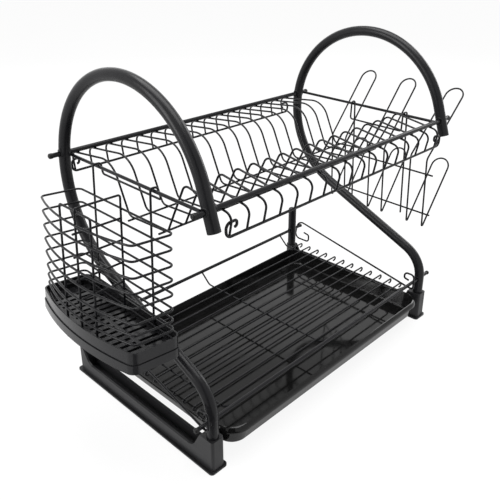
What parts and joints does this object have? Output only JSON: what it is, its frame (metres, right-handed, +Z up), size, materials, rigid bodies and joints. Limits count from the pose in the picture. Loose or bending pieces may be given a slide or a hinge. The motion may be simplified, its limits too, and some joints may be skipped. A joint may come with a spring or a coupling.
{
  "type": "dish drying rack",
  "caption": "Two-tier dish drying rack with S-shaped side tubes, wire plate dividers, a hanging cutlery basket, a hanging cup holder and a slide-out drip tray.",
  "frame": {"origin": "centre of the whole rack's bounding box in plan, at table height", "axes": "+X along the rods towards the cup holder, +Y towards the rear, +Z up"},
  "size_m": [0.5562, 0.2597, 0.3969],
  "materials": {
    "tube_paint": "semi-gloss black powder coat",
    "wire_paint": "semi-gloss black powder coat",
    "foot_plastic": "satin dark grey",
    "cap_plastic": "satin black",
    "tray_plastic": "gloss black",
    "cup_plastic": "satin-gloss black"
  },
  "bodies": {
    "rack": {"foot_left": "foot_plastic", "foot_right": "foot_plastic", "lower_cross_wires": "wire_paint", "lower_front_rod": "wire_paint", "lower_long_wires": "wire_paint", "lower_rear_rod": "wire_paint", "lower_rod_caps": "cap_plastic", "lower_side_bar_left": "wire_paint", "lower_side_bar_right": "wire_paint", "plate_dividers": "wire_paint", "rear_post_caps": "cap_plastic", "rear_post_left": "tube_paint", "rear_post_right": "tube_paint", "s_tube_left": "tube_paint", "s_tube_plugs": "cap_plastic", "s_tube_right": "tube_paint", "upper_end_bar_left": "wire_paint", "upper_end_bar_right": "wire_paint", "upper_floor_wires": "wire_paint", "upper_front_rod": "wire_paint", "upper_rear_rod": "wire_paint", "upper_rod_caps": "cap_plastic", "upper_wire_front": "wire_paint", "upper_wire_rear": "wire_paint"},
    "tray": {"drip_tray": "tray_plastic"},
    "cutlery_basket": {"basket_hook_wire": "wire_paint", "basket_rings": "wire_paint", "basket_outer_frame": "wire_paint", "basket_divider_frame": "wire_paint", "basket_divider_wires": "wire_paint", "cutlery_cup": "cup_plastic"},
    "saucer": {"cutlery_saucer": "cup_plastic"},
    "cup_holder": {"cup_holder_hook_wire": "wire_paint", "cup_holder_loops": "wire_paint", "cup_holder_rails": "wire_paint"}
  },
  "joints": [
    {"name": "tray_slide", "type": "slide", "parent": "rack", "child": "tray", "axis": [0, -1, 0], "range_m": [0, 0.19]},
    {"name": "basket_lift", "type": "slide", "parent": "rack", "child": "cutlery_basket", "axis": [0, 0, 1], "range_m": [0, 0.015]},
    {"name": "saucer_drop", "type": "slide", "parent": "cutlery_basket", "child": "saucer", "axis": [0, 0, -1], "range_m": [0, 0.04]},
    {"name": "cup_holder_lift", "type": "slide", "parent": "rack", "child": "cup_holder", "axis": [0, 0, 1], "range_m": [0, 0.03]}
  ]
}
